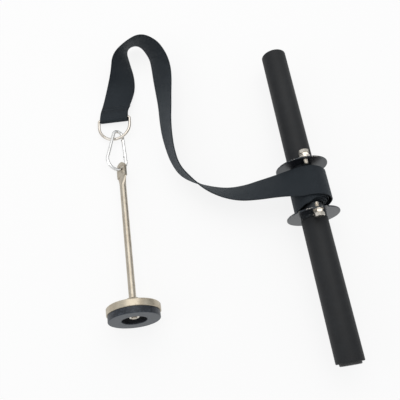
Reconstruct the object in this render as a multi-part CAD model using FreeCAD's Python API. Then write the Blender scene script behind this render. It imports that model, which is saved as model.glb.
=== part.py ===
import FreeCAD, Part
import math
import os

from FreeCAD import Matrix, Placement, Rotation, Vector

# Wrist roller laid out on a flat surface, in millimetres.
# Z is up and the surface is Z = 0. Y runs along the roller's tube. The roller rests on its two flanges,
# the loading pin lies on the rim of its base, and the strap's free stretch stands on its far edge.

# Layout
ROLLER_X = 133.1            # the tube's axis, to the right of the layout's middle
ROLLER_Y = -38.8            # middle between the flanges, in front of the layout's middle

# Core tube and grips
TUBE_OUTER_D = 32.0
TUBE_WALL = 2.0
GRIP_OUTER_D = 38.0
GRIP_END_Y = 240.0          # both grips and the tube end here
PLUG_HEAD_D = 29.5
PLUG_HEAD_T = 3.2
PLUG_STEM_LENGTH = 18.0
PLUG_STEM_WALL = 2.4
PLUG_CAP_T = 2.0            # solid part of the stem behind the head
PLUG_EDGE_ROUND = 1.4
GRIP_EDGE_ROUND = 1.2

# Flanges, with a short welded hub on the outer side of each
FLANGE_D = 76.0
FLANGE_T = 2.0
FLANGE_EDGE_ROUND = 0.5
FLANGE_GAP = 74.4           # between the inner faces, where the strap winds
HUB_D = 37.0
HUB_LENGTH = 4.0
AXIS_Z = FLANGE_D / 2

# Lock screw through each flange, parallel to the tube: M6 thread, hexagon head and jam nut outside
SCREW_RADIUS_FROM_AXIS = 29.6
SCREW_D = 6.0
SCREW_HEAD_AF = 13.0
SCREW_HEAD_H = 5.3
SCREW_LENGTH = 16.0
SCREW_POINT = 1.4           # chamfer at the tip
JAM_NUT_AF = 12.0
JAM_NUT_H = 4.2
WASHER_D = 15.0
RIGHT_WASHER_T = 1.0
LEFT_WASHER_T = 3.2
THREAD_CLEARANCE = 0.04

# Strap
STRAP_WIDTH = 45.0
STRAP_T = 1.8
STRAP_MIDDLE_Y = 7.2        # where the strap leaves, nearer the left flange
TURN_SHIFT_Y = -15.7        # how far the outer turn lies over to the right at its inner end
TURN_SECTIONS = 18          # along each arc of the outer turn
INNER_TURNS_Y = (-31.0, 27.0)
INNER_TURNS_D = 46.8
INNER_TURNS_SAG = 2.0       # the turns hang loose to the right
WINDING_CLEARANCE = 0.3     # to the tube, which turns inside it in this model
ANCHOR_GROOVE_D = 41.0      # room that the inner turns leave round the anchor screw
ANCHOR_GROOVE_WIDTH = 15.0
LEAVE_ANGLE = 20.0          # degrees from level, the way down that the strap leaves the winding
OUTER_TURN_MIDDLE = (3.7, -0.6)     # the loose outer turn's middle, to the right of and above the axis
OUTER_TURN_R = 27.9         # to the middle of the strap's thickness
OUTER_TURN_GAP = 0.55       # to the layer under it, where the strap leaves
OUTER_TURN_JOINT = 225.0    # degrees clockwise from the top, where it starts to close in
SPAN_SECTIONS = 72

# Anchor screw that holds the strap's inner end to the tube
ANCHOR_Y = 0.0
ANCHOR_SCREW_D = 5.0
ANCHOR_SCREW_REACH = 4.0    # how far it goes into the tube beyond the wall
ANCHOR_HEAD_D = 9.0
ANCHOR_HEAD_H = 2.4
ANCHOR_WASHER_D = 12.0
ANCHOR_WASHER_T = 1.0

# D-ring, in its own plane: a straight bar, two short sides and a half circle
RING_WIRE_D = 4.5
RING_HALF_WIDTH = 25.15     # to the middle of the wire
RING_CORNER_R = 2.6
RING_SIDE = 8.8
RING_BAR_CENTRE = Vector(-268.9, 181.4, 8.9)
RING_HEADING = -3.5         # degrees, turn about Z
RING_ROLL = 9.0             # degrees, right side up
RING_DROP = 0.5             # degrees, the arc a little lower than the bar

# The strap's end round the D-ring's bar, in the ring's plane
END_LOOP_R = RING_WIRE_D / 2 + 0.35 + STRAP_T / 2
END_LOOP_LEAN = 13.0        # degrees, how fast the two layers close behind the bar
END_LAP = 24.0              # length of the layer that is stitched on underneath
END_SEAM = 13.0             # from the bar to the seam
LAYER_STEP = STRAP_T + 0.1  # between the middles of two stitched layers

# Carabiner, in its own plane: q runs from the narrow end to the wide end, p to the left
CLIP_WIRE_D = 5.6
CLIP_LENGTH = 74.0
CLIP_WIDTH = 37.4
CLIP_NARROW_R = 8.0         # to the middle of the wire
CLIP_ROLL = 36.0            # degrees, left limb up
CLIP_HEADING = 6.9          # degrees, wide end to the left
CLIP_RISE = 4.7             # degrees, wide end up
CLIP_RING_Q = 12.0          # the ring's wire crosses here
CLIP_ON_RING = 11.0         # degrees along the ring's arc, from its lowest point to the right
GATE_TONGUE_T = 2.0
GATE_SLOT_T = 2.4
GATE_SLOT_DEPTH = 7.4
GATE_GAP = 0.4              # to the body, at both ends
GATE_TONGUE_LENGTH = 5.6
GATE_TONGUE_WIDTH = 4.8
GATE_NOSE = 1.5             # how far the body's nose stands out along the gate's limb
GATE_RIVET_D = 2.0
GATE_RIVET_HEAD = 0.3
GATE_RIVET_PLAY = 0.06      # round the rivet in the body's tongue
GATE_BORE_D = 3.2
GATE_BORE_LENGTH = 12.0
GATE_SPRING_D = 2.6
GATE_SPRING_WIRE_D = 0.5
GATE_SPRING_TURNS = 8
GATE_SPRING_PLAY = 0.4      # at each end of the bore
EYE_ON_CLIP = 33.0          # degrees along the wide end's arc, from the middle to the right

# Loading pin
ROD_D = 10.0
PIN_LENGTH = 240.9          # from the eye's tip to the underside of the base disc
PIN_HEADING = -0.35         # degrees from -Y
EYE_WIDTH = 18.0
EYE_T = 4.2
EYE_LENGTH = 26.0
EYE_NECK_LENGTH = 15.0
EYE_HOLE_D = 11.0
EYE_HOLE_FROM_TIP = 11.4
EYE_HOLE_SHIFT = 0.7        # how far the carabiner's wire sits off the hole's middle
EYE_FACE_RISE = 48.0        # degrees above level, the way the eye's flat face looks to the left
BASE_D = 73.0
BASE_RIM_H = 10.0
BASE_EDGE_ROUND = 1.2
BASE_FOOT_ROUND = 0.6
# The disc's top above its rim, as (height, radius): a low dome that sweeps up into a boss round the rod.
BASE_DOME = [(0.0, 35.3), (1.5, 30.0), (2.9, 23.0), (4.4, 16.5), (6.0, 12.6), (8.0, 10.4), (10.1, 9.2), (11.0, 8.0)]
BASE_SPIGOT_D = 8.0
BASE_SPIGOT_LENGTH = 27.0
RUBBER_D = 70.0
RUBBER_T = 9.0
RUBBER_HOLE_D = 34.0
RUBBER_EDGE_ROUND = 1.0
BASE_NUT_AF = 13.0
BASE_NUT_H = 4.0
BASE_WASHER_D = 16.0
BASE_WASHER_T = 1.0

# The strap's free stretch: the middle of each edge of the webbing, from the winding to the D-ring,
# as control points of two smooth curves. The far edge is the one that rests on the surface.
FAR_EDGE = [
    (-5.8, 29.7, 63.6), (-16, 29.7, 59.9), (-27, 29.9, 53), (-43, 31, 40), (-62, 32, 28), (-85, 32, 16), (-109, 35, 7),
    (-133, 43, 3), (-157, 54, 1), (-178, 69, 2), (-189, 93, 4), (-194, 118, 5), (-197, 144, 6), (-197, 170, 6),
    (-196, 195, 5), (-197, 221, 4), (-198, 246, 4), (-198, 272, 2), (-199, 296, 1), (-214, 323, 7),
    (-238, 316, 7), (-233, 285, 1), (-229, 261, 2), (-230, 234, 3),
]
NEAR_EDGE = [
    (-5.8, -15.3, 63.6), (-16, -15, 60.4), (-30, -12.5, 62), (-51, -9.5, 58), (-75, -6, 49), (-100, -1, 42), (-124, 9, 40),
    (-146, 24, 41), (-163, 44, 44), (-178, 66, 47), (-182, 92, 49), (-182, 118, 49), (-180, 145, 48),
    (-176, 171, 46), (-173, 196, 43), (-169, 222, 40), (-167, 249, 37), (-171, 275, 38), (-184, 299, 44),
    (-209, 310, 51), (-236, 297, 49), (-258, 284, 40), (-264, 258, 31), (-273, 242, 14),
]
# The last control points before the bar, in the D-ring's plane: right of its middle, behind its bar, up
FAR_END = [(28.5, 25, -2.2), (22.5, 12, 0.9)]
NEAR_END = [(-18.5, 28, -2.6), (-22.5, 13, 0.9)]


def frame_placement(origin, x_axis, y_axis, z_axis):
    """Placement that takes local X, Y and Z to the given unit vectors at origin."""
    matrix = Matrix(
        x_axis.x, y_axis.x, z_axis.x, origin.x,
        x_axis.y, y_axis.y, z_axis.y, origin.y,
        x_axis.z, y_axis.z, z_axis.z, origin.z,
        0, 0, 0, 1,
    )
    return Placement(matrix)


def placed(shape, placement):
    """Copy of shape, moved by placement."""
    copy = shape.copy()
    copy.Placement = placement.multiply(copy.Placement)
    return copy


def turned(vector, axis, degrees):
    """Vector turned about an axis through the origin."""
    return Rotation(axis, degrees).multVec(vector)


def along_y(radius, y_from, y_to, centre_x=0.0, centre_z=AXIS_Z):
    """Solid cylinder along Y."""
    low, high = min(y_from, y_to), max(y_from, y_to)
    return Part.makeCylinder(radius, high - low, Vector(centre_x, low, centre_z), Vector(0, 1, 0))


def ring_along_y(outer_r, inner_r, y_from, y_to):
    """Tube along Y on the roller's axis."""
    return along_y(outer_r, y_from, y_to).cut(along_y(inner_r, y_from, y_to))


def hexagon(across_flats, height):
    """Hexagonal prism on Z with chamfered outer corners on both ends."""
    corner_r = across_flats / math.sqrt(3)
    corners = [Vector(corner_r * math.cos(math.radians(60 * k)), corner_r * math.sin(math.radians(60 * k)), 0)
               for k in range(7)]
    prism = Part.Face(Part.makePolygon(corners)).extrude(Vector(0, 0, height))
    slope = math.tan(math.radians(30))
    reach = corner_r - across_flats / 2 * 0.97
    middle = Part.makeCylinder(corner_r + 1, height - 2 * reach * slope, Vector(0, 0, reach * slope))
    cone_r = corner_r
    low = Part.makeCone(cone_r - reach, cone_r, reach * slope)
    high = Part.makeCone(cone_r, cone_r - reach, reach * slope, Vector(0, 0, height - reach * slope))
    return prism.common(middle.multiFuse([low, high])).removeSplitter()


def bar(start, end, radius):
    """Round bar between two points."""
    return Part.makeCylinder(radius, (end - start).Length, start, end - start)


def bend(centre, axis, start, degrees, radius):
    """Round bar bent about centre, from the point start."""
    tangent = axis.cross(start - centre)
    disc = Part.Face(Part.Wire(Part.makeCircle(radius, start, tangent)))
    return disc.revolve(centre, axis, degrees)


def joined(solids):
    """One solid from pieces that meet face to face."""
    return solids[0].multiFuse(solids[1:]).removeSplitter()


def core_tube():
    """Steel tube that runs the roller's whole length."""
    return ring_along_y(TUBE_OUTER_D / 2, TUBE_OUTER_D / 2 - TUBE_WALL, -GRIP_END_Y, GRIP_END_Y)


def grip(side):
    """Rubber sleeve over one end of the tube, from the flange's hub outwards."""
    start = FLANGE_GAP / 2 + FLANGE_T + HUB_LENGTH
    sleeve = ring_along_y(GRIP_OUTER_D / 2, TUBE_OUTER_D / 2, side * start, side * GRIP_END_Y)
    outer_rims = [e for e in sleeve.Edges
                  if isinstance(e.Curve, Part.Circle) and abs(e.Curve.Radius - GRIP_OUTER_D / 2) < 1e-6]
    return sleeve.makeFillet(GRIP_EDGE_ROUND, outer_rims)


def end_plug(side):
    """Hollow plastic plug pressed into the tube, with a domed head outside."""
    bore_r = TUBE_OUTER_D / 2 - TUBE_WALL
    face = side * GRIP_END_Y
    stem = along_y(bore_r, face - side * PLUG_STEM_LENGTH, face)
    hollow = along_y(bore_r - PLUG_STEM_WALL, face - side * PLUG_STEM_LENGTH, face - side * PLUG_CAP_T)
    head = along_y(PLUG_HEAD_D / 2, face, face + side * PLUG_HEAD_T)
    tips = [e for e in head.Edges if abs(e.CenterOfMass.y - (face + side * PLUG_HEAD_T)) < 1e-6]
    return stem.cut(hollow).fuse(head.makeFillet(PLUG_EDGE_ROUND, tips)).removeSplitter()


def flange(side):
    """Pressed steel disc with its lock screw's hole."""
    inner = side * FLANGE_GAP / 2
    disc = ring_along_y(FLANGE_D / 2, TUBE_OUTER_D / 2, inner, inner + side * FLANGE_T)
    rims = [e for e in disc.Edges
            if isinstance(e.Curve, Part.Circle) and abs(e.Curve.Radius - FLANGE_D / 2) < 1e-6]
    disc = disc.makeFillet(FLANGE_EDGE_ROUND, rims)
    hole = along_y(SCREW_D / 2 + THREAD_CLEARANCE, inner - side, inner + side * (FLANGE_T + 1),
                   centre_z=AXIS_Z + SCREW_RADIUS_FROM_AXIS)
    return disc.cut(hole)


def flange_hub(side):
    """Short collar that carries the flange on the tube."""
    start = side * (FLANGE_GAP / 2 + FLANGE_T)
    return ring_along_y(HUB_D / 2, TUBE_OUTER_D / 2, start, start + side * HUB_LENGTH)


def lock_screw_set(side):
    """Screw, jam nut and washer of one flange, each with its head or top outwards."""
    washer_t = LEFT_WASHER_T if side > 0 else RIGHT_WASHER_T
    face = Vector(0, side * (FLANGE_GAP / 2 + FLANGE_T), AXIS_Z + SCREW_RADIUS_FROM_AXIS)
    outward = Rotation(Vector(0, 0, 1), Vector(0, side, 0))
    clear_r = SCREW_D / 2 + THREAD_CLEARANCE
    washer = Part.makeCylinder(WASHER_D / 2, washer_t).cut(Part.makeCylinder(clear_r, washer_t))
    nut = hexagon(JAM_NUT_AF, JAM_NUT_H).cut(Part.makeCylinder(clear_r, JAM_NUT_H))
    nut.translate(Vector(0, 0, washer_t))
    head = hexagon(SCREW_HEAD_AF, SCREW_HEAD_H)
    head.translate(Vector(0, 0, washer_t + JAM_NUT_H))
    shank = Part.makeCylinder(SCREW_D / 2, SCREW_LENGTH, Vector(0, 0, washer_t + JAM_NUT_H - SCREW_LENGTH))
    tip = [e for e in shank.Edges if abs(e.CenterOfMass.z - (washer_t + JAM_NUT_H - SCREW_LENGTH)) < 1e-6]
    screw = shank.makeChamfer(SCREW_POINT, tip).fuse(head).removeSplitter()
    placement = Placement(face, outward)
    return [placed(s, placement) for s in (screw, nut, washer)]


def anchor_screw():
    """Pan-head screw that holds the strap's inner end, on the tube's top."""
    top = AXIS_Z + TUBE_OUTER_D / 2 + ANCHOR_WASHER_T
    length = ANCHOR_WASHER_T + TUBE_WALL + ANCHOR_SCREW_REACH
    shank = Part.makeCylinder(ANCHOR_SCREW_D / 2, length, Vector(0, ANCHOR_Y, top - length))
    head = Part.makeCylinder(ANCHOR_HEAD_D / 2, ANCHOR_HEAD_H, Vector(0, ANCHOR_Y, top))
    return shank.fuse(head).removeSplitter()


def anchor_washer():
    """Washer under the anchor screw's head, on a small flat over the tube."""
    bottom = AXIS_Z + TUBE_OUTER_D / 2
    disc = Part.makeCylinder(ANCHOR_WASHER_D / 2, ANCHOR_WASHER_T, Vector(0, ANCHOR_Y, bottom))
    hole = Part.makeCylinder(ANCHOR_SCREW_D / 2, ANCHOR_WASHER_T, Vector(0, ANCHOR_Y, bottom))
    return disc.cut(hole)


def anchor_hole():
    """Hole in the tube for the anchor screw."""
    low = AXIS_Z + TUBE_OUTER_D / 2 - TUBE_WALL - ANCHOR_SCREW_REACH
    return Part.makeCylinder(ANCHOR_SCREW_D / 2, AXIS_Z + TUBE_OUTER_D - low, Vector(0, ANCHOR_Y, low))


def strap_winding_core():
    """The inner turns as one plain sleeve, with the room that they leave round the anchor screw."""
    low, high = INNER_TURNS_Y
    turns = along_y(INNER_TURNS_D / 2, low, high, centre_x=INNER_TURNS_SAG)
    turns = turns.cut(along_y(TUBE_OUTER_D / 2 + WINDING_CLEARANCE, low, high))
    groove = ring_along_y(ANCHOR_GROOVE_D / 2, TUBE_OUTER_D / 2 - 1,
                          ANCHOR_Y - ANCHOR_GROOVE_WIDTH / 2, ANCHOR_Y + ANCHOR_GROOVE_WIDTH / 2)
    return turns.cut(groove)


def around(centre, radius, degrees):
    """Point of a circle across the tube; degrees count clockwise from the top, seen from the right grip."""
    angle = math.radians(degrees)
    return centre + Vector(math.sin(angle), 0, math.cos(angle)) * radius


def outer_turn_arcs():
    """The outer turn's arcs, as (middle, radius, start angle, end angle), angles clockwise from the top.

    The turn starts where the strap leaves it and is followed backwards: over the top, down the loose
    right side and under the tube on one circle, then up the left side on a smaller one that meets the
    first without a corner and ends one strap and a gap further in.
    """
    loose = Vector(OUTER_TURN_MIDDLE[0], 0, AXIS_Z + OUTER_TURN_MIDDLE[1])
    end = around(loose, OUTER_TURN_R - STRAP_T - OUTER_TURN_GAP, -LEAVE_ANGLE) - loose
    outward = around(Vector(), 1.0, OUTER_TURN_JOINT)
    reach = end.dot(outward)
    tight_r = (end.dot(end) + OUTER_TURN_R ** 2 - 2 * OUTER_TURN_R * reach) / (2 * (OUTER_TURN_R - reach))
    tight = loose + outward * (OUTER_TURN_R - tight_r)
    last = loose + end - tight
    end_angle = 360 + math.degrees(math.atan2(last.x, last.z))
    half = (OUTER_TURN_JOINT - LEAVE_ANGLE) / 2
    return [
        (loose, OUTER_TURN_R, -LEAVE_ANGLE, half), (loose, OUTER_TURN_R, half, OUTER_TURN_JOINT),
        (tight, tight_r, OUTER_TURN_JOINT, end_angle),
    ]


def strap_outer_turn():
    """The outermost turn of webbing, one unbroken band that slants along the tube."""
    arcs = outer_turn_arcs()
    first, last = arcs[0][2], arcs[-1][3]
    half = Vector(0, STRAP_WIDTH / 2, 0)
    sections = []
    for centre, radius, start, end in arcs:
        for k in range(1 if sections else 0, TURN_SECTIONS + 1):
            angle = start + (end - start) * k / TURN_SECTIONS
            shift = STRAP_MIDDLE_Y + TURN_SHIFT_Y * (angle - first) / (last - first)
            middle = around(centre, radius, angle) + Vector(0, shift, 0)
            sections.append((middle + half, middle - half, around(Vector(), 1.0, angle)))
    return webbing(sections)


def outer_turn_gap():
    """Least gap between the outer turn's overlapping layers, measured on points."""
    arcs = outer_turn_arcs()
    points = [(around(c, r, a + (b - a) * k / 40), a + (b - a) * k / 40)
              for c, r, a, b in arcs for k in range(41)]
    gaps = [(p - q).Length - STRAP_T for p, a in points for q, b in points if abs(a - b) > 300]
    return min(gaps)


def smooth_curve(points):
    """Quadratic curve held by control points, clamped at both ends."""
    curve = Part.BSplineCurve()
    count = len(points)
    inner = count - 3
    knots = [k for k in range(inner + 2)]
    multiplicities = [3] + [1] * inner + [3]
    curve.buildFromPolesMultsKnots([Vector(*p) for p in points], multiplicities, knots, False, 2)
    return curve


def strap_edges():
    """Both edges of the free stretch as curves, the far one first."""
    place = ring_placement()
    lean = math.radians(END_LOOP_LEAN)
    curves = []
    for poles, end, side in ((FAR_EDGE, FAR_END, 1), (NEAR_EDGE, NEAR_END, -1)):
        last = (side * STRAP_WIDTH / 2, END_LOOP_R * math.sin(lean), END_LOOP_R * math.cos(lean))
        curves.append(smooth_curve(poles + [tuple(place.multVec(Vector(*p))) for p in end + [last]]))
    return curves


def strap_sections():
    """Points on both edges and the direction of the strap's thickness, along the free stretch."""
    far, near = strap_edges()
    last = far.LastParameter
    sections = []
    for k in range(SPAN_SECTIONS + 1):
        u = last * k / SPAN_SECTIONS
        a, b = far.value(u), near.value(u)
        tangent = far.getD1(u)[1] + near.getD1(u)[1]
        through = (b - a).cross(tangent).normalize()
        sections.append((a, b, through))
    return sections


def webbing(sections):
    """Band of webbing through the given sections."""
    wires = []
    for a, b, through in sections:
        step = through * (STRAP_T / 2)
        wires.append(Part.makePolygon([a - step, b - step, b + step, a + step, a - step]))
    return Part.makeLoft(wires, True, True)


def strap_free():
    """The strap from the winding to the stitched loop, one twisted band."""
    return webbing(strap_sections())


def ring_placement():
    """The D-ring's place: local X along the bar to the right, local Y away from the arc."""
    right = turned(turned(Vector(1, 0, 0), Vector(0, 1, 0), -RING_ROLL), Vector(0, 0, 1), RING_HEADING)
    back = Vector(0, math.cos(math.radians(RING_DROP)), math.sin(math.radians(RING_DROP)))
    normal = right.cross(back).normalize()
    back = normal.cross(right)
    return frame_placement(RING_BAR_CENTRE, right, back, normal)


def d_ring():
    """Bent wire ring with a straight bar for the strap."""
    r, half, corner, side = RING_WIRE_D / 2, RING_HALF_WIDTH, RING_CORNER_R, RING_SIDE
    z = Vector(0, 0, 1)
    low = -corner - side
    pieces = [bar(Vector(-half + corner, 0, 0), Vector(half - corner, 0, 0), r)]
    pieces.append(bend(Vector(half - corner, -corner, 0), z, Vector(half, -corner, 0), 90, r))
    pieces.append(bend(Vector(-half + corner, -corner, 0), z, Vector(-half + corner, 0, 0), 90, r))
    for x in (-half, half):
        pieces.append(bar(Vector(x, low, 0), Vector(x, -corner, 0), r))
    pieces.append(bend(Vector(0, low, 0), z, Vector(-half, low, 0), 180, r))
    return placed(joined(pieces), ring_placement())


def ring_crossing():
    """Middle of the ring's wire where the carabiner hangs, and the wire's direction there, to the right."""
    angle = math.radians(CLIP_ON_RING)
    place = ring_placement()
    point = Vector(RING_HALF_WIDTH * math.sin(angle),
                   -RING_CORNER_R - RING_SIDE - RING_HALF_WIDTH * math.cos(angle), 0)
    along = Vector(math.cos(angle), math.sin(angle), 0)
    return place.multVec(point), place.Rotation.multVec(along)


def strap_end_loop():
    """The strap's end, folded round the D-ring's bar and laid back under the strap."""
    place = ring_placement()
    half = Vector(STRAP_WIDTH / 2, 0, 0)
    sections = []
    start, end = 90 - END_LOOP_LEAN, 270 + END_LOOP_LEAN
    for k in range(17):
        angle = math.radians(start + (end - start) * k / 16)
        out = Vector(0, math.cos(angle), math.sin(angle))
        middle = out * END_LOOP_R
        sections.append([place.multVec(middle + half), place.multVec(middle - half),
                         place.Rotation.multVec(out)])
    up = place.Rotation.multVec(Vector(0, 0, 1))
    inverse = place.inverse()
    opening = 2 * END_LOOP_R * math.cos(math.radians(END_LOOP_LEAN))
    for a, b, through in reversed(strap_sections()[:-1]):
        behind = inverse.multVec((a + b) * 0.5).y
        if behind > END_LAP:
            break
        closing = max(0.0, 1 - behind / END_SEAM)
        step = up * (LAYER_STEP + (opening - LAYER_STEP) * closing ** 1.6)
        sections.append([a - step, b - step, through * -1])
    return webbing(sections)


def clip_sizes():
    """The carabiner's wide radius and the q of its two arc centres, to the middle of the wire."""
    wide_r = (CLIP_WIDTH - CLIP_WIRE_D) / 2
    narrow_q = CLIP_NARROW_R
    wide_q = CLIP_LENGTH - CLIP_WIRE_D - wide_r
    return wide_r, narrow_q, wide_q


def clip_placement():
    """The carabiner's place: local X is p, local Y is q, and the ring's wire crosses at CLIP_RING_Q."""
    along = turned(Vector(0, -1, 0), Vector(0, 0, 1), -CLIP_HEADING)
    level_left = along.cross(Vector(0, 0, 1)).normalize()
    along = turned(along, level_left, CLIP_RISE)
    left = turned(level_left, along, -CLIP_ROLL)
    normal = left.cross(along)
    crossing, _ = ring_crossing()
    return frame_placement(crossing - along * CLIP_RING_Q, left, along, normal)


def clip_limb(side):
    """The straight limb's two ends in the carabiner's plane, on side 1 for left or -1 for right."""
    wide_r, narrow_q, wide_q = clip_sizes()
    lean = math.asin((wide_r - CLIP_NARROW_R) / (wide_q - narrow_q))
    out = Vector(side * math.cos(lean), -math.sin(lean), 0)
    return Vector(0, narrow_q, 0) + out * CLIP_NARROW_R, Vector(0, wide_q, 0) + out * wide_r, out, lean


def gate_slots(narrow_end, wide_end, along):
    """Slots in both ends of the gate, in the carabiner's plane."""
    size = CLIP_WIRE_D + 2
    cuts = []
    for point, direction in ((narrow_end, 1), (wide_end, -1)):
        slot = Part.makeBox(size, GATE_SLOT_DEPTH + 1, GATE_SLOT_T, Vector(-size / 2, -1, -GATE_SLOT_T / 2))
        sideways = (along * direction).cross(Vector(0, 0, 1))
        cuts.append(placed(slot, frame_placement(point, sideways, along * direction, Vector(0, 0, 1))))
    return cuts


def carabiner():
    """Body, gate, rivet and gate spring, in the carabiner's plane."""
    wide_r, narrow_q, wide_q = clip_sizes()
    r = CLIP_WIRE_D / 2
    z = Vector(0, 0, 1)
    left_narrow, left_wide, _, lean = clip_limb(1)
    right_narrow, right_wide, _, _ = clip_limb(-1)
    along = (right_wide - right_narrow).normalize()
    narrow_c, wide_c = Vector(0, narrow_q, 0), Vector(0, wide_q, 0)
    over = 180 - 2 * math.degrees(lean)
    hinge = right_narrow + along * (r + GATE_GAP)
    nose = right_wide - along * GATE_NOSE
    body = [bend(narrow_c, z, left_narrow, -over, r), bar(left_narrow, left_wide, r),
            bend(wide_c, z, left_wide, 360 - over, r)]
    body.append(bar(right_wide, nose, r))
    for start, direction in ((right_narrow, along), (nose, -along)):
        sideways = direction.cross(z)
        tongue = Part.makeBox(GATE_TONGUE_WIDTH, GATE_TONGUE_LENGTH + 1, GATE_TONGUE_T,
                              Vector(-GATE_TONGUE_WIDTH / 2, -1, -GATE_TONGUE_T / 2))
        body.append(placed(tongue, frame_placement(start, sideways, direction, z)))
    gate_start, gate_end = right_narrow + along * GATE_GAP, nose - along * GATE_GAP
    knuckle = Part.makeCylinder(r, CLIP_WIRE_D, hinge - z * r, z)
    knuckle = knuckle.common(bar(gate_start, hinge + along * r, r))
    gate = joined([knuckle, bar(hinge, gate_end, r)])
    for slot in gate_slots(gate_start, gate_end, along):
        gate = gate.cut(slot)
    bore_start = gate_start + along * GATE_SLOT_DEPTH
    gate = gate.cut(bar(bore_start, bore_start + along * GATE_BORE_LENGTH, GATE_BORE_D / 2))
    pin = Part.makeCylinder(GATE_RIVET_D / 2, CLIP_WIRE_D + 2 * GATE_RIVET_HEAD,
                            hinge - z * (r + GATE_RIVET_HEAD), z)
    pin_hole = Part.makeCylinder(GATE_RIVET_D / 2, CLIP_WIRE_D + 4, hinge - z * (r + 2), z)
    tongue_hole = Part.makeCylinder(GATE_RIVET_D / 2 + GATE_RIVET_PLAY, CLIP_WIRE_D + 4, hinge - z * (r + 2), z)
    spring = gate_spring(bore_start + along * GATE_SPRING_PLAY, along)
    body_solid = joined(body).cut(tongue_hole)
    return {"carabiner_body": body_solid, "carabiner_gate": gate.cut(pin_hole), "gate_rivet": pin,
            "gate_spring": spring}, hinge


def gate_spring(start, along):
    """Small compression spring in the gate's bore, one unbroken wire."""
    coil_r = (GATE_SPRING_D - GATE_SPRING_WIRE_D) / 2
    length = GATE_BORE_LENGTH - 2 * GATE_SPRING_PLAY - GATE_SPRING_WIRE_D
    helix = Part.makeHelix(length / GATE_SPRING_TURNS, length, coil_r)
    wire = Part.Wire(Part.makeCircle(GATE_SPRING_WIRE_D / 2, Vector(coil_r, 0, 0), Vector(0, 1, 0)))
    coil = Part.Wire(helix.Edges).makePipeShell([wire], True, False)
    base = start + along * (GATE_SPRING_WIRE_D / 2)
    return placed(coil, Placement(base, Rotation(Vector(0, 0, 1), along)))


def eye_crossing():
    """Middle of the carabiner's wire where the eye hangs, and the wire's direction there, to the right."""
    wide_r, _, wide_q = clip_sizes()
    angle = math.radians(EYE_ON_CLIP)
    place = clip_placement()
    point = Vector(-wide_r * math.sin(angle), wide_q + wide_r * math.cos(angle), 0)
    along = Vector(-math.cos(angle), -math.sin(angle), 0)
    return place.multVec(point), place.Rotation.multVec(along)


def pin_placement():
    """The loading pin's place: local X from the eye's tip to the base, local Z out of the eye's face."""
    wire, _ = eye_crossing()
    rise = 0.0
    lowest = PIN_LENGTH - BASE_RIM_H + BASE_EDGE_ROUND
    for _ in range(30):
        tip_z = wire.z - (EYE_HOLE_FROM_TIP + EYE_HOLE_SHIFT) * math.sin(rise)
        rise = math.asin((BASE_D / 2 * math.cos(rise) - tip_z) / lowest)
    level = turned(Vector(0, -1, 0), Vector(0, 0, 1), PIN_HEADING)
    along = Vector(level.x * math.cos(rise), level.y * math.cos(rise), math.sin(rise))
    tip = wire - along * (EYE_HOLE_FROM_TIP + EYE_HOLE_SHIFT)
    level_left = along.cross(Vector(0, 0, 1)).normalize()
    face = turned(level_left, along, -EYE_FACE_RISE)
    return frame_placement(tip, along, face.cross(along), face)


def loading_rod():
    """Steel rod, hammered flat into an eye at one end and turned down for the base's nut at the other."""
    r = ROD_D / 2
    shoulder = PIN_LENGTH - BASE_RIM_H - BASE_DOME[-1][0]
    eye_centre = EYE_WIDTH / 2
    plate = Part.makeBox(EYE_LENGTH - eye_centre, EYE_WIDTH, EYE_T,
                         Vector(eye_centre, -EYE_WIDTH / 2, -EYE_T / 2))
    nose = Part.makeCylinder(EYE_WIDTH / 2, EYE_T, Vector(eye_centre, 0, -EYE_T / 2))
    flat = nose.fuse(plate).removeSplitter()
    neck = Part.makeLoft([rounded_section(EYE_LENGTH, EYE_WIDTH / 2, EYE_T / 2),
                          rounded_section(EYE_LENGTH + EYE_NECK_LENGTH, r, r)], True, False)
    neck_end = EYE_LENGTH + EYE_NECK_LENGTH
    shaft = Part.makeCylinder(r, shoulder - neck_end, Vector(neck_end, 0, 0), Vector(1, 0, 0))
    spigot = Part.makeCylinder(BASE_SPIGOT_D / 2, BASE_SPIGOT_LENGTH, Vector(shoulder, 0, 0), Vector(1, 0, 0))
    hole = Part.makeCylinder(EYE_HOLE_D / 2, EYE_T + 2, Vector(EYE_HOLE_FROM_TIP, 0, -EYE_T / 2 - 1))
    rod = joined([flat.cut(hole), neck, shaft, spigot])
    return placed(rod, pin_placement())


def rounded_section(x, half_width, half_thickness):
    """Closed oval section across the rod."""
    oval = Part.Ellipse(Vector(0, 0, 0), half_width, half_thickness)
    edge = oval.toShape()
    edge.Placement = frame_placement(Vector(x, 0, 0), Vector(0, 1, 0), Vector(0, 0, 1), Vector(1, 0, 0))
    return Part.Wire(edge)


def base_disc():
    """Thick steel disc whose low dome sweeps up into a boss round the rod, turned about the pin's axis."""
    top = PIN_LENGTH - BASE_RIM_H
    edge = BASE_D / 2
    rim = [(PIN_LENGTH, 0), (PIN_LENGTH, edge - BASE_FOOT_ROUND), (PIN_LENGTH - BASE_FOOT_ROUND, edge),
           (top + BASE_EDGE_ROUND, edge), (top, BASE_DOME[0][1])]
    dome = Part.BSplineCurve()
    dome.interpolate([Vector(top - height, radius, 0) for height, radius in BASE_DOME])
    peak, boss_r = top - BASE_DOME[-1][0], BASE_DOME[-1][1]
    closing = [(peak, boss_r), (peak, 0), (PIN_LENGTH, 0)]
    edges = Part.makePolygon([Vector(x, r, 0) for x, r in rim]).Edges + [dome.toShape()]
    edges += Part.makePolygon([Vector(x, r, 0) for x, r in closing]).Edges
    disc = Part.Face(Part.Wire(edges)).revolve(Vector(0, 0, 0), Vector(1, 0, 0), 360)
    hole = Part.makeCylinder(BASE_SPIGOT_D / 2, PIN_LENGTH - peak, Vector(peak, 0, 0), Vector(1, 0, 0))
    return placed(disc.cut(hole), pin_placement())


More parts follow.
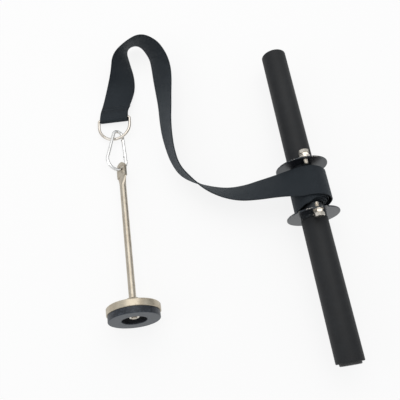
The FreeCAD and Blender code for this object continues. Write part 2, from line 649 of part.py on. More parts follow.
def rubber_ring():
    """Rubber ring on the disc's underside."""
    x = Vector(1, 0, 0)
    start = Vector(PIN_LENGTH, 0, 0)
    ring = Part.makeCylinder(RUBBER_D / 2, RUBBER_T, start, x)
    ring = ring.cut(Part.makeCylinder(RUBBER_HOLE_D / 2, RUBBER_T, start, x))
    far_edges = [e for e in ring.Edges if abs(e.CenterOfMass.x - PIN_LENGTH - RUBBER_T) < 1e-6]
    return placed(ring.makeFillet(RUBBER_EDGE_ROUND, far_edges), pin_placement())


def base_washer():
    """Washer between the disc and the nut."""
    x = Vector(1, 0, 0)
    start = Vector(PIN_LENGTH, 0, 0)
    disc = Part.makeCylinder(BASE_WASHER_D / 2, BASE_WASHER_T, start, x)
    return placed(disc.cut(Part.makeCylinder(BASE_SPIGOT_D / 2, BASE_WASHER_T, start, x)), pin_placement())


def base_nut():
    """Hexagon nut on the rod's end, inside the rubber ring."""
    nut = hexagon(BASE_NUT_AF, BASE_NUT_H).cut(Part.makeCylinder(BASE_SPIGOT_D / 2, BASE_NUT_H))
    nut.Placement = Placement(Vector(PIN_LENGTH + BASE_WASHER_T, 0, 0), Rotation(Vector(0, 0, 1), Vector(1, 0, 0)))
    return placed(nut, pin_placement())


def build():
    """Every node by name."""
    left, right = lock_screw_set(1), lock_screw_set(-1)
    screws, nuts, washers = [Part.makeCompound(list(pair)) for pair in zip(left, right)]
    clip_parts, _ = carabiner()
    clip_place = clip_placement()
    nodes = {
        "core_tube": core_tube().cut(anchor_hole()),
        "left_grip": grip(1), "right_grip": grip(-1),
        "left_end_plug": end_plug(1), "right_end_plug": end_plug(-1),
        "left_flange": flange(1), "right_flange": flange(-1),
        "left_flange_hub": flange_hub(1), "right_flange_hub": flange_hub(-1),
        "flange_screws": screws, "flange_jam_nuts": nuts, "flange_washers": washers,
        "strap_anchor_screw": anchor_screw(), "strap_anchor_washer": anchor_washer(),
        "strap_winding_core": strap_winding_core(), "strap_outer_turn": strap_outer_turn(),
        "strap_free": strap_free(), "strap_end_loop": strap_end_loop(),
        "d_ring": d_ring(),
        "loading_rod": loading_rod(), "base_disc": base_disc(), "rubber_ring": rubber_ring(),
        "base_washer": base_washer(), "base_nut": base_nut(),
    }
    for name, shape in clip_parts.items():
        nodes[name] = placed(shape, clip_place)
    return nodes


def main():
    """Write one file per node and print what the model measures."""
    os.makedirs("parts", exist_ok=True)
    shift = Placement(Vector(ROLLER_X, ROLLER_Y, 0), Rotation())
    low, high = Vector(1e9, 1e9, 1e9), Vector(-1e9, -1e9, -1e9)
    for name, shape in build().items():
        moved = placed(shape, shift)
        box = moved.optimalBoundingBox(False, False)
        low = Vector(min(low.x, box.XMin), min(low.y, box.YMin), min(low.z, box.ZMin))
        high = Vector(max(high.x, box.XMax), max(high.y, box.YMax), max(high.z, box.ZMax))
        print(f"{name:22s} solids {len(moved.Solids)} valid {moved.isValid()} volume {moved.Volume:9.1f}"
              f"  x {box.XMin:7.1f} {box.XMax:7.1f}  y {box.YMin:7.1f} {box.YMax:7.1f}"
              f"  z {box.ZMin:6.2f} {box.ZMax:6.2f}")
        moved.exportStep(f"parts/{name}.step")
    print(f"outer turn's least gap to itself {outer_turn_gap():.2f} mm")
    print(f"whole layout x {low.x:.1f} {high.x:.1f}  y {low.y:.1f} {high.y:.1f}  z {low.z:.2f} {high.z:.2f}")


main()
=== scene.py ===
"""A wrist roller on a white studio floor: gripped tube, flanged spool, webbing, ring, clip and pin."""

from __future__ import annotations

import logging
import math
from dataclasses import dataclass, field
from enum import Enum
from typing import Iterable, Sequence, Union

import bmesh
import bpy
from mathutils import Matrix, Vector

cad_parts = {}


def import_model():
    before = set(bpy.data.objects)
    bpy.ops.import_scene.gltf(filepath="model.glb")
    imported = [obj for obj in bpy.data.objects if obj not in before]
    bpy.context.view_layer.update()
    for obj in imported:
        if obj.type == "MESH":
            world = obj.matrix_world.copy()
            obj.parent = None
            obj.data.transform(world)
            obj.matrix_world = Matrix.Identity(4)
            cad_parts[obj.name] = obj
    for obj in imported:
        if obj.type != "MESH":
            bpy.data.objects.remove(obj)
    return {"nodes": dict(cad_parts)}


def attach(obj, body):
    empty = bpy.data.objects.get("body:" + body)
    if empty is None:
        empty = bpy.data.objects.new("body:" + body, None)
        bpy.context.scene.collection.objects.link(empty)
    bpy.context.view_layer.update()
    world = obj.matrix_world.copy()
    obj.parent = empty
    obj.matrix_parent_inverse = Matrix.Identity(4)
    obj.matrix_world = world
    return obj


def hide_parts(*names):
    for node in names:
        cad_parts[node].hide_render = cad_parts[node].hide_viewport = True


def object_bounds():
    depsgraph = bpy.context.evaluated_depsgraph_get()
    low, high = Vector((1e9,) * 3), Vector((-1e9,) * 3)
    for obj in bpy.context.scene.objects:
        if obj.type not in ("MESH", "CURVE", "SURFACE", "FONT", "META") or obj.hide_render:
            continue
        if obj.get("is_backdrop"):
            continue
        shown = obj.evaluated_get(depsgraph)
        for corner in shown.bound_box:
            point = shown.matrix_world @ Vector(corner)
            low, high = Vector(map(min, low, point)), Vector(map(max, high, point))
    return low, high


LOG = logging.getLogger("wrist_roller")

MM = 0.001
# Where the roller's own layout sits in the object's frame, in metres.
ROLLER_PLACE = Vector((133.1, -38.8, 0.0)) * MM
AXIS_HEIGHT = 38.0
FLANGE_FACE = 37.2
FLANGE_THICK = 2.0

Pair = tuple[float, float]
Triple = tuple[float, float, float]
Entry = Union["Field", float, Triple, None]
Key = Union[str, int]
Entries = dict[Key, Entry]


def to_place(point: Sequence[float]) -> Vector:
    """Point of the roller's layout, given in millimetres, in the object's frame in metres."""
    return Vector(point) * MM + ROLLER_PLACE


def linear(value: int) -> float:
    """Linear share that shows on a screen as this value from 0 to 255."""
    part = value / 255
    return part / 12.92 if part <= 0.04045 else ((part + 0.055) / 1.055) ** 2.4


def screen(red: int, green: int, blue: int) -> Triple:
    """Linear colour that shows on a screen as these three values from 0 to 255."""
    return linear(red), linear(green), linear(blue)


class Field:
    """A value that varies over a surface; arithmetic on it adds the Math nodes."""

    def __init__(self, recipe: Recipe, socket: bpy.types.NodeSocket) -> None:
        """Wraps the output socket of one of the recipe's nodes."""
        self.recipe = recipe
        self.socket = socket

    def _with(self, operation: str, first: Entry, second: Entry = None) -> Field:
        """Adds one Math node of one or two values and gives its result."""
        entries = {0: first} if second is None else {0: first, 1: second}
        return self.recipe.add("ShaderNodeMath", {"operation": operation}, entries)

    def __add__(self, other: Entry) -> Field:
        """Sum."""
        return self._with("ADD", self, other)

    def __radd__(self, other: Entry) -> Field:
        """Sum, with the number first."""
        return self._with("ADD", other, self)

    def __sub__(self, other: Entry) -> Field:
        """Difference."""
        return self._with("SUBTRACT", self, other)

    def __rsub__(self, other: Entry) -> Field:
        """Difference, with the number first."""
        return self._with("SUBTRACT", other, self)

    def __mul__(self, other: Entry) -> Field:
        """Product."""
        return self._with("MULTIPLY", self, other)

    def __truediv__(self, other: Entry) -> Field:
        """Quotient."""
        return self._with("DIVIDE", self, other)

    def __abs__(self) -> Field:
        """Size without sign."""
        return self._with("ABSOLUTE", self)

    def __mod__(self, other: Entry) -> Field:
        """Remainder, never negative."""
        return self._with("FLOORED_MODULO", self, other)

    def sine(self) -> Field:
        """Sine of the value in radians."""
        return self._with("SINE", self)

    def least(self, other: Entry) -> Field:
        """The smaller of the two."""
        return self._with("MINIMUM", self, other)

    def most(self, other: Entry) -> Field:
        """The larger of the two."""
        return self._with("MAXIMUM", self, other)

    def between(self, low: float, high: float) -> Field:
        """Smooth step from 0 at low to 1 at high."""
        entries = {"Value": self, "From Min": low, "From Max": high}
        return self.recipe.add("ShaderNodeMapRange", {"interpolation_type": "SMOOTHSTEP"}, entries)


class Recipe:
    """The nodes of one material, or of the surroundings."""

    def __init__(self, name: str, world: bool = False) -> None:
        """Starts with nothing but the output.

        Args:
            name: The name of what is made.
            world: Whether that is the surroundings rather than a material.
        """
        self.made = (bpy.data.worlds if world else bpy.data.materials).new(name)
        self.made.use_nodes = True
        self.tree = self.made.node_tree
        self.tree.nodes.clear()
        self.output = self.node("ShaderNodeOutputWorld" if world else "ShaderNodeOutputMaterial", {}, {})

    def node(self, kind: str, settings: dict[str, object], entries: Entries) -> bpy.types.Node:
        """Adds a node, sets it and fills its sockets.

        Args:
            kind: The node's type.
            settings: Its own settings, with a colour ramp's stops under "stops".
            entries: Values or links for its sockets, by name or number.

        Returns:
            The node.
        """
        made = self.tree.nodes.new(kind)
        for key, value in settings.items():
            if key == "stops":
                self._set_stops(made.color_ramp, value)
            else:
                setattr(made, key, value)
        for key, value in entries.items():
            socket = made.inputs[key]
            if isinstance(value, Field):
                self.tree.links.new(value.socket, socket)
            elif isinstance(value, tuple) and len(socket.default_value) == 4:
                socket.default_value = (*value, 1.0)
            else:
                socket.default_value = value
        return made

    @staticmethod
    def _set_stops(ramp: bpy.types.ColorRamp, stops: Sequence[tuple[float, Triple]]) -> None:
        """Gives a colour ramp its stops.

        Args:
            ramp: The ramp.
            stops: Place from 0 to 1 and colour of each.
        """
        while len(ramp.elements) < len(stops):
            ramp.elements.new(1.0)
        for element, (place, colour) in zip(ramp.elements, stops):
            element.position = place
            element.color = (*colour, 1.0)

    def add(self, kind: str, settings: dict[str, object], entries: Entries, output: Key = 0) -> Field:
        """Adds a node as node() does, and gives the output of this name or number."""
        return Field(self, self.node(kind, settings, entries).outputs[output])

    def several(self, kind: str, entries: Entries, *outputs: Key) -> list[Field]:
        """Adds a node with these values in its sockets, and gives several of its outputs."""
        made = self.node(kind, {}, entries)
        return [Field(self, made.outputs[output]) for output in outputs]

    def place(self) -> Field:
        """Place on the piece in metres, in the piece's own frame."""
        return self.add("ShaderNodeTexCoord", {}, {}, "Object")

    def vector(self, operation: str, first: Entry, second: Entry = None, output: str = "Vector") -> Field:
        """Adds one Vector Math node.

        Args:
            operation: The node's operation.
            first: Its first vector.
            second: Its second vector, or the number to scale by.
            output: Vector or Value.

        Returns:
            The node's result.
        """
        entries: Entries = {0: first}
        if second is not None:
            entries["Scale" if operation == "SCALE" else 1] = second
        return self.add("ShaderNodeVectorMath", {"operation": operation}, entries, output)

    def parts(self, vector: Field) -> list[Field]:
        """The X, Y and Z of a vector."""
        return self.several("ShaderNodeSeparateXYZ", {0: vector}, 0, 1, 2)

    def rays(self) -> list[Field]:
        """Whether the surface is seen directly, in a mirror, and through something clear."""
        names = ("Is Camera Ray", "Is Glossy Ray", "Is Transmission Ray")
        return self.several("ShaderNodeLightPath", {}, *names)

    def together(self, first: Entry, second: Entry, third: Entry) -> Field:
        """A vector of three numbers."""
        return self.add("ShaderNodeCombineXYZ", {}, {0: first, 1: second, 2: third})

    def noise(self, at: Field, size: float, detail: float = 2.0, roughness: float = 0.5) -> Field:
        """Soft random pattern from 0 to 1, whose features are so many metres large."""
        entries = {"Vector": at, "Scale": 1 / size, "Detail": detail, "Roughness": roughness}
        return self.add("ShaderNodeTexNoise", {}, entries, "Fac")

    def cells(self, at: Field, size: float) -> Field:
        """Distance to the nearest of many scattered points, in cell sizes of so many metres."""
        return self.add("ShaderNodeTexVoronoi", {}, {"Vector": at, "Scale": 1 / size}, "Distance")

    def blend(self, mask: Entry, first: Entry, second: Entry) -> Field:
        """Colour that goes from first to second as mask goes from 0 to 1."""
        return self.add("ShaderNodeMix", {"data_type": "RGBA"}, {0: mask, 6: first, 7: second}, 2)

    def bumps(self, layers: Iterable[tuple[Field, float]]) -> Field:
        """Relief of several layers, one on the other.

        Args:
            layers: Height from 0 to 1, and how deep that is in metres.

        Returns:
            The surface's direction.
        """
        normal: Entry = None
        for height, depth in layers:
            entries: Entries = {"Height": height, "Distance": depth, "Strength": 1.0}
            if normal is not None:
                entries["Normal"] = normal
            normal = self.add("ShaderNodeBump", {}, entries)
        assert isinstance(normal, Field)
        return normal

    def end(self, shader: Field) -> Union[bpy.types.Material, bpy.types.World]:
        """Links the last shader to the output and gives what was made."""
        self.tree.links.new(shader.socket, self.output.inputs[0])
        return self.made

    def surface(self, **entries: Entry) -> bpy.types.Material:
        """Ends the material with the main shader, whose sockets are named with _ for spaces."""
        named = {key.replace("_", " "): value for key, value in entries.items()}
        return self.end(self.add("ShaderNodeBsdfPrincipled", {}, named))


@dataclass(frozen=True)
class Axis:
    """A line that a turned piece is round, in millimetres of the roller's layout."""

    through: Triple
    along: Triple = (0.0, 1.0, 0.0)

    def reach(self, recipe: Recipe) -> tuple[Field, Field]:
        """Distances from and along the line.

        Args:
            recipe: The material.

        Returns:
            Metres from the line, and metres along it.
        """
        start = to_place(self.through)
        way = Vector(self.along).normalized()
        offset = recipe.vector("SUBTRACT", recipe.place(), tuple(start))
        along = recipe.vector("DOT_PRODUCT", offset, tuple(way), "Value")
        beside = recipe.vector("SUBTRACT", offset, recipe.vector("SCALE", tuple(way), along))
        return recipe.vector("LENGTH", beside, None, "Value"), along


TUBE_AXIS = Axis((0.0, 0.0, AXIS_HEIGHT))


@dataclass(frozen=True)
class GripRubber:
    """Matt closed-cell rubber of the two grips."""

    colour: Triple = screen(17, 19, 22)
    worn: Triple = screen(31, 34, 37)
    grain: float = 0.55 * MM

    def material(self) -> bpy.types.Material:
        """Builds the finish.

        Returns:
            Its material.
        """
        recipe = Recipe("grip_rubber")
        at = recipe.place()
        _, along = TUBE_AXIS.reach(recipe)
        mottle = recipe.noise(at, 14 * MM, 5, 0.6)
        handled = (1 - abs(abs(along) - 0.135).between(0.02, 0.11)) * recipe.noise(at, 30 * MM, 3)
        pores = recipe.cells(at, self.grain)
        skin = recipe.noise(at, 1.6 * MM, 4, 0.6)
        lightened = recipe.blend(mottle.between(0.35, 0.8) * 0.55, self.colour, self.worn)
        # Painted shade in the pores: the rubber is darker where the cell pattern sinks in.
        tone = recipe.blend((1 - pores.between(0.05, 0.4)) * 0.35, lightened, screen(13, 14, 16))
        rough = 0.56 + mottle * 0.12 - handled * 0.12
        relief = recipe.bumps([(skin, 0.10 * MM), (pores, 0.05 * MM)])
        return recipe.surface(Base_Color=tone, Roughness=rough, Normal=relief, Specular_IOR_Level=0.34)


@dataclass(frozen=True)
class MouldedPlastic:
    """Black moulded plastic of the end plugs, with fine spark-eroded texture."""

    colour: Triple = screen(27, 27, 29)

    def material(self) -> bpy.types.Material:
        """Builds the finish.

        Returns:
            Its material.
        """
        recipe = Recipe("plug_plastic")
        at = recipe.place()
        away, _ = TUBE_AXIS.reach(recipe)
        speckle = recipe.noise(at, 0.45 * MM, 2)
        cloud = recipe.noise(at, 7 * MM, 3)
        outside_mark = away.between(1.2 * MM, 1.6 * MM)
        scuffed = away.between(12.5 * MM, 14.6 * MM) * recipe.noise(at, 2.2 * MM, 4).between(0.48, 0.62)
        clean = recipe.blend(cloud, self.colour, screen(36, 36, 38))
        tone = recipe.blend(scuffed * 0.5, clean, screen(84, 83, 82))
        relief = recipe.bumps([(speckle, 0.05 * MM), (outside_mark, 0.25 * MM)])
        rough = 0.42 + speckle * 0.14 + scuffed * 0.12
        return recipe.surface(Base_Color=tone, Roughness=rough, Normal=relief)


@dataclass(frozen=True)
class PaintedSteel:
    """Semi-gloss black powder paint on the flanges, their hubs and the tube."""

    name: str = "flange_paint"
    colour: Triple = screen(20, 22, 27)
    rim: float = 38.0 * MM
    rough: float = 0.24

    def material(self) -> bpy.types.Material:
        """Builds the finish.

        Returns:
            Its material.
        """
        recipe = Recipe(self.name)
        at = recipe.place()
        away, along = TUBE_AXIS.reach(recipe)
        peel = recipe.noise(at, 1.5 * MM, 3, 0.45)
        cloud = recipe.noise(at, 22 * MM, 4)
        ring_marks = recipe.noise(recipe.together(away * 9, along * 0.3, cloud * 0.002), 1.1 * MM, 3, 0.7)
        rubbed = ring_marks.between(0.6, 0.78) * cloud.between(0.45, 0.6)
        edge = away.between(self.rim - 0.9 * MM, self.rim - 0.1 * MM)
        chipped = edge * recipe.noise(at, 2.6 * MM, 5).between(0.58, 0.63)
        painted = recipe.blend(cloud * 0.6, self.colour, screen(34, 34, 36))
        painted = recipe.blend(rubbed * 0.25, painted, screen(70, 70, 72))
        tone = recipe.blend(chipped, painted, screen(150, 146, 140))
        rough = self.rough + peel * 0.08 + rubbed * 0.16
        relief = recipe.bumps([(peel, 0.06 * MM), (1 - chipped, 0.05 * MM), (1 - rubbed, 0.01 * MM)])
        return recipe.surface(Base_Color=tone, Roughness=rough, Metallic=chipped * 0.9, Normal=relief,
                              Specular_IOR_Level=0.48, Specular_Tint=(0.78, 0.9, 1.0))


class Marks(Enum):
    """How a bright metal piece was finished."""

    DRAWN = "drawn"
    TUMBLED = "tumbled"
    TURNED = "turned"


@dataclass(frozen=True)
class BrightMetal:
    """Plated steel, with the marks of its making and a little tarnish."""

    name: str
    colour: Triple
    tarnish: Triple
    rough: float
    marks: Marks = Marks.TUMBLED
    axis: Axis = TUBE_AXIS
    spotting: float = 0.35

    def _lines(self, recipe: Recipe, at: Field) -> Field:
        """Fine marks of the making.

        Args:
            recipe: The material.
            at: Where on the surface.

        Returns:
            Their height from 0 to 1.
        """
        if self.marks is Marks.TUMBLED:
            return recipe.noise(at, 0.8 * MM, 4, 0.65)
        away, along = self.axis.reach(recipe)
        drift = recipe.noise(at, 18 * MM, 2) * 0.004
        if self.marks is Marks.DRAWN:
            side, _, high = recipe.parts(at)
            return recipe.noise(recipe.together(side * 5, along * 0.12, high * 5), 1.0 * MM, 3, 0.6)
        return recipe.noise(recipe.together(away, along * 0.5, drift), 0.42 * MM, 3, 0.6)

    def material(self) -> bpy.types.Material:
        """Builds the finish.

        Returns:
            Its material.
        """
        recipe = Recipe(self.name)
        at = recipe.place()
        lines = self._lines(recipe, at)
        cloud = recipe.noise(at, 11 * MM, 4, 0.6)
        specks = 1 - recipe.cells(at, 2.6 * MM).between(0.06, 0.17)
        spots = specks * recipe.noise(at, 9 * MM, 2).between(0.5, 0.62)
        shade = recipe.blend(cloud.between(0.38, 0.72) * self.spotting, self.colour, self.tarnish)
        tone = recipe.blend(spots * 0.45, shade, recipe.blend(0.5, self.tarnish, (0.08, 0.06, 0.05)))
        rough = self.rough + lines * 0.07 + cloud.between(0.4, 0.8) * 0.08 + spots * 0.15
        wave = recipe.noise(at, 6 * MM, 1)
        relief = recipe.bumps([(lines, 0.012 * MM), (wave, 0.05 * MM)])
        return recipe.surface(Base_Color=tone, Roughness=rough, Metallic=1.0, Normal=relief)


@dataclass(frozen=True)
class FootRubber:
    """Dark moulded rubber of the ring under the base disc."""

    colour: Triple = screen(19, 21, 27)
    bloom: Triple = screen(33, 37, 45)
    # Paler blue-grey of the bottom face: dust, with a painted sheen standing for the floor's reflection.
    dust_and_sheen: Triple = screen(72, 80, 88)
    axis: Axis = TUBE_AXIS
    face: float = 237.8 * MM

    def material(self) -> bpy.types.Material:
        """Builds the finish.

        Returns:
            Its material.
        """
        recipe = Recipe("foot_rubber")
        at = recipe.place()
        away, along = self.axis.reach(recipe)
        grain = recipe.noise(at, 0.7 * MM, 4, 0.6)
        cloud = recipe.noise(at, 9 * MM, 5, 0.6)
        rings = recipe.noise(recipe.together(away, along, 0.0), 0.9 * MM, 2)
        scuffs = away.between(31 * MM, 35 * MM) * recipe.noise(at, 3.2 * MM, 5).between(0.5, 0.66)
        tone = recipe.blend(cloud.between(0.35, 0.75) * 0.6, self.colour, self.bloom)
        tone = recipe.blend(scuffs * 0.5, tone, screen(70, 75, 84))
        # The bottom face is painted paler: dust, with a painted sheen of the floor's reflection.
        lightened = along.between(self.face - 0.9 * MM, self.face - 0.2 * MM) * (0.55 + cloud * 0.45)
        tone = recipe.blend(lightened * 0.5, tone, self.dust_and_sheen)
        relief = recipe.bumps([(grain, 0.06 * MM), (rings, 0.05 * MM)])
        return recipe.surface(Base_Color=tone, Roughness=0.36 + grain * 0.12 + scuffs * 0.1, Normal=relief,
                              Specular_IOR_Level=0.5, Specular_Tint=(0.85, 0.92, 1.0))


@dataclass(frozen=True)
class Webbing:
    """Woven nylon webbing: cords along the strap, crossed in a chevron, with a tight selvedge."""

    colour: Triple = screen(11, 14, 18)
    # Colour of the weave's raised cords, which carry a painted light.
    crown: Triple = screen(31, 36, 43)
    seams: tuple[float, ...] = ()
    cord: float = 1.25 * MM
    pick: float = 2.1 * MM
    width: float = 45.0 * MM

    def material(self) -> bpy.types.Material:
        """Builds the finish.

        Returns:
            Its material.
        """
        recipe = Recipe("webbing")
        across, along, _ = recipe.parts(recipe.add("ShaderNodeUVMap", {"uv_map": "strap_layout"}, {}))
        at = recipe.place()
        column = across / self.cord
        row = along / self.pick + abs((across - self.width / 2) / (self.cord * 2)) * 0.5
        in_column = abs((column % 1.0) * 2 - 1)
        parity = (column - (column % 1.0)) % 2.0
        wave = ((row + parity * 0.5) * (2 * math.pi)).sine() * 0.5 + 0.5
        weave = (1 - in_column * in_column) * (0.45 + wave * 0.55)
        strands = ((along / (0.3 * MM) + column * 1.5) * (2 * math.pi)).sine() * 0.5 + 0.5
        edge = abs(across - self.width / 2).between(self.width / 2 - 2.0 * MM, self.width / 2 - 1.2 * MM)
        cloud = recipe.noise(at, 16 * MM, 4, 0.55)
        fuzz = recipe.noise(at, 0.35 * MM, 3, 0.7)
        # Painted light and shade on the weave: raised cords lighter, hollows between them darker; cloud and
        # fuzz vary the tone at random.
        light = weave * (0.45 + cloud * 0.5) + fuzz * 0.12 - edge * 0.15
        tone = recipe.blend(light.between(0.05, 1.0), self.colour, self.crown)
        worn = recipe.noise(at, 5 * MM, 5, 0.65).between(0.62, 0.8) * 0.2
        tone = recipe.blend(worn, tone, screen(58, 63, 70))
        first, *others = [abs(along - seam).between(0.2 * MM, 1.4 * MM) for seam in self.seams]
        seam_dent_and_shade = first
        for other in others:
            seam_dent_and_shade = seam_dent_and_shade.least(other)
        # Painted shade along the seam rows, in the dents where the stitches pinch the strap.
        tone = recipe.blend((1 - seam_dent_and_shade) * 0.7, tone, screen(8, 9, 11))
        relief = recipe.bumps([(weave, 0.22 * MM), (strands * weave, 0.03 * MM), (fuzz, 0.03 * MM),
                               (seam_dent_and_shade, 0.5 * MM)])
        return recipe.surface(Base_Color=tone, Roughness=0.56 + fuzz * 0.2, Normal=relief, Sheen_Weight=0.06,
                              Sheen_Roughness=0.4, Sheen_Tint=(0.65, 0.85, 1.0), Specular_IOR_Level=0.4,
                              Specular_Tint=(0.8, 0.92, 1.0))


@dataclass(frozen=True)
class SewingThread:
    """Bonded nylon thread of the seams."""

    colour: Triple = screen(17, 18, 22)

    def material(self) -> bpy.types.Material:
        """Builds the finish.

        Returns:
            Its material.
        """
        recipe = Recipe("sewing_thread")
        at = recipe.place()
        side, length, high = recipe.parts(at)
        twist = (((side + length + high) / (0.5 * MM)) * (2 * math.pi)).sine() * 0.5 + 0.5
        fibres = recipe.noise(at, 0.25 * MM, 3, 0.7)
        # Painted light on the twist: the crests of the plies are lighter, with random fibres.
        tone = recipe.blend(twist * 0.5 + fibres * 0.4, self.colour, screen(58, 62, 70))
        relief = recipe.bumps([(twist, 0.08 * MM), (fibres, 0.03 * MM)])
        return recipe.surface(Base_Color=tone, Roughness=0.5 + fibres * 0.25, Normal=relief)


def in_scene(name: str, data: bpy.types.ID) -> bpy.types.Object:
    """Puts a mesh, a light or a camera into the scene.

    Args:
        name: The object's name.
        data: What it shows.

    Returns:
        The object.
    """
    made = bpy.data.objects.new(name, data)
    bpy.context.scene.collection.objects.link(made)
    return made


class Shape:
    """Mesh under construction, in metres of the object's frame."""

    def __init__(self) -> None:
        """Starts empty."""
        self.points: list[Vector] = []
        self.faces: list[tuple[int, ...]] = []

    def loft(self, rings: Sequence[Sequence[Vector]], capped: bool = True) -> None:
        """Skin through closed rings with equal numbers of points.

        Args:
            rings: The rings in order.
            capped: Whether both ends are closed.
        """
        first = len(self.points)
        count = len(rings[0])
        for ring in rings:
            self.points.extend(ring)
        for k in range(len(rings) - 1):
            low, high = first + k * count, first + (k + 1) * count
            for j in range(count):
                after = (j + 1) % count
                self.faces.append((low + j, low + after, high + after, high + j))
        if capped:
            last = first + (len(rings) - 1) * count
            self.faces.append(tuple(first + j for j in reversed(range(count))))
            self.faces.append(tuple(last + j for j in range(count)))

    def tube(self, path: Sequence[Vector], radius: float, sides: int = 8) -> None:
        """Round thread along a path.

        Args:
            path: Middle line.
            radius: Its radius in metres.
            sides: Points round it.
        """
        rings = []
        for k, point in enumerate(path):
            way = (path[min(k + 1, len(path) - 1)] - path[max(k - 1, 0)]).normalized()
            side = way.cross(Vector((0.31, 0.17, 0.93))).normalized()
            other = way.cross(side)
            turns = [2 * math.pi * j / sides for j in range(sides)]
            rings.append([point + (side * math.cos(t) + other * math.sin(t)) * radius for t in turns])
        self.loft(rings)

    def make(self, name: str, sharp: float = 40.0) -> bpy.types.Object:
        """Turns the shape into an object.

        Args:
            name: The piece's name.
            sharp: Angle in degrees above which an edge stays sharp.

        Returns:
            The object, in the scene.
        """
        mesh = bpy.data.meshes.new(name)
        mesh.from_pydata([tuple(p) for p in self.points], [], self.faces)
        work = bmesh.new()
        work.from_mesh(mesh)
        bmesh.ops.recalc_face_normals(work, faces=work.faces)
        for face in work.faces:
            face.smooth = True
        for edge in work.edges:
            edge.smooth = len(edge.link_faces) != 2 or edge.calc_face_angle() < math.radians(sharp)
        work.to_mesh(mesh)
        work.free()
        LOG.info("made %s of %d faces", name, len(self.faces))
        return in_scene(name, mesh)


@dataclass(frozen=True)
class Section:
    """The strap cut across: its two edges and the way its outer face looks, in metres."""

    far: Vector
    near: Vector
    out: Vector

    @property
    def middle(self) -> Vector:
        """Halfway between the edges."""
        return (self.far + self.near) / 2


class SmoothCurve:
    """Quadratic curve held by control points, starting and ending at the first and the last."""

    def __init__(self, points: Sequence[Vector]) -> None:
        """Keeps the control points in order."""
        self.points = list(points)
        self.spans = len(self.points) - 2

    def at(self, share: float) -> Vector:
        """Point at a share of the curve's parameter.

        Args:
            share: From 0 to 1.

        Returns:
            The point.
        """
        value = share * self.spans
        span = min(int(value), self.spans - 1)
        knots = [min(max(k - 2, 0), self.spans) for k in range(self.spans + 5)]
        held = [self.points[span + j].copy() for j in range(3)]
        for level in (1, 2):
            for j in range(2, level - 1, -1):
                low = knots[span + j]
                high = knots[span + j + 3 - level]
                part = (value - low) / (high - low)
                held[j] = held[j - 1] * (1 - part) + held[j] * part
        return held[2]


@dataclass
class Ring:
    """The D-ring's place, and the strap's loop round its bar."""

    bar_middle: Triple = (-268.9, 181.4, 8.9)
    right: Triple = (0.98585, -0.06030, 0.15643)
    back: Triple = (0.0582, 0.9981, 0.0180)
    loop_radius: float = 3.5
    lean: float = 13.0

    def place(self, local: Sequence[float]) -> Vector:
        """Point given in millimetres along, behind and above the ring's bar, in the object's frame."""
        return to_place(self.bar_middle) + self.way(local) * MM

    def way(self, local: Sequence[float]) -> Vector:
        """Direction in the ring's own frame, in the object's frame."""
        right, back = Vector(self.right), Vector(self.back)
        return right * local[0] + back * local[1] + right.cross(back) * local[2]

    def behind(self, point: Vector) -> float:
        """Millimetres that a point lies behind the bar."""
        return (point - to_place(self.bar_middle)).dot(Vector(self.back)) / MM


